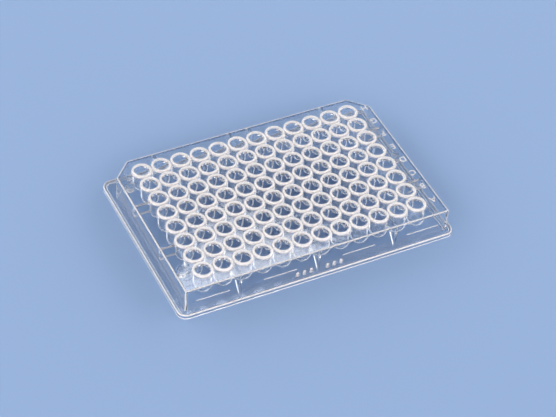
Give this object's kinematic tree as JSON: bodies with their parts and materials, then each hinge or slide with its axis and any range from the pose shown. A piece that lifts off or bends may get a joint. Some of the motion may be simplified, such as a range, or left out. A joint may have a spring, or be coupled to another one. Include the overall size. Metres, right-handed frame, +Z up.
{
  "type": "well plate",
  "caption": "Clear moulded microplate: a rectangular skirted tray with a grid of round-bottomed wells, raised well rims and chamfered corners along a long side.",
  "frame": {"origin": "middle of the footprint, on the surface the plate stands on", "axes": "+X along the rows from column 1 to column 12, +Y from row H to row A, +Z up out of the wells"},
  "size_m": [0.1278, 0.0854, 0.0143],
  "materials": {
    "well_plate": "clear moulded polystyrene, glossy"
  },
  "bodies": {
    "root": {"well_plate": "well_plate"}
  },
  "joints": []
}
